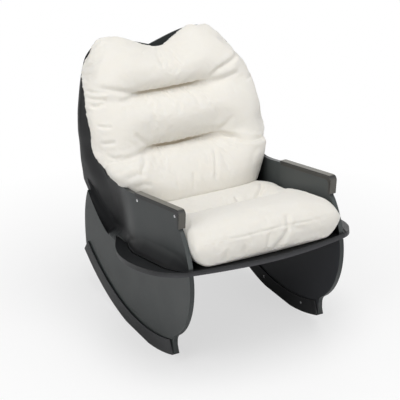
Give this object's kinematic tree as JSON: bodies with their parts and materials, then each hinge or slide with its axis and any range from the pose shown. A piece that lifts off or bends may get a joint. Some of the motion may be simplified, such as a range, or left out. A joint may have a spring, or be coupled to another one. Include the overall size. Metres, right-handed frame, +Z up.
{
  "type": "platform rocker",
  "caption": "Rocking armchair on curved panel runners: bucket shell with arms, a deck with half-round side shelves, channelled seat and back cushions.",
  "frame": {"origin": "centre of the whole chair's footprint box, at the floor", "axes": "+X to the sitter's left side (the right of the picture), +Y to the back, +Z up"},
  "size_m": [0.826, 0.9692, 0.9775],
  "materials": {
    "panel": "satin charcoal, slightly soft sheen",
    "shell": "satin charcoal, moulded",
    "deck": "satin charcoal",
    "rail": "satin near black",
    "cap": "matt dark grey",
    "steel": "bright screw heads",
    "bracket": "dark painted angle",
    "cotton": "off-white woven cotton"
  },
  "bodies": {
    "frame": {"back_shell": "shell", "back_support_panel": "shell", "front_cross_rail": "panel", "front_left_bracket": "bracket", "front_left_bracket_screw_1": "steel", "front_left_bracket_screw_2": "steel", "front_right_bracket": "bracket", "front_right_bracket_screw_1": "steel", "front_right_bracket_screw_2": "steel", "left_arm_cap": "cap", "left_cap_screw_1": "steel", "left_cap_screw_2": "steel", "left_rail_screw_1": "steel", "left_rail_screw_2": "steel", "left_rail_screw_3": "steel", "left_runner_rail": "rail", "left_side_panel": "panel", "rear_cross_rail": "panel", "rear_left_bracket": "bracket", "rear_left_bracket_screw_1": "steel", "rear_left_bracket_screw_2": "steel", "rear_right_bracket": "bracket", "rear_right_bracket_screw_1": "steel", "rear_right_bracket_screw_2": "steel", "right_arm_cap": "cap", "right_cap_screw_1": "steel", "right_cap_screw_2": "steel", "right_rail_screw_1": "steel", "right_rail_screw_2": "steel", "right_rail_screw_3": "steel", "right_runner_rail": "rail", "right_side_panel": "panel", "seat_deck": "deck", "shell_screw_1": "steel", "shell_screw_2": "steel", "shell_screw_3": "steel", "shell_screw_4": "steel", "shell_screw_5": "steel", "shell_screw_6": "steel"},
    "seat_cushion": {"seat_cushion": "cotton"},
    "back_cushion": {"back_cushion": "cotton"}
  },
  "joints": [
    {"name": "seat_cushion_lift_out", "type": "slide", "parent": "frame", "child": "seat_cushion", "axis": [0, -0.9816, 0.1908], "range_m": [0, 0.3]},
    {"name": "back_cushion_lift_out", "type": "slide", "parent": "frame", "child": "back_cushion", "axis": [0, -0.5, 0.866], "range_m": [0, 0.12]}
  ]
}
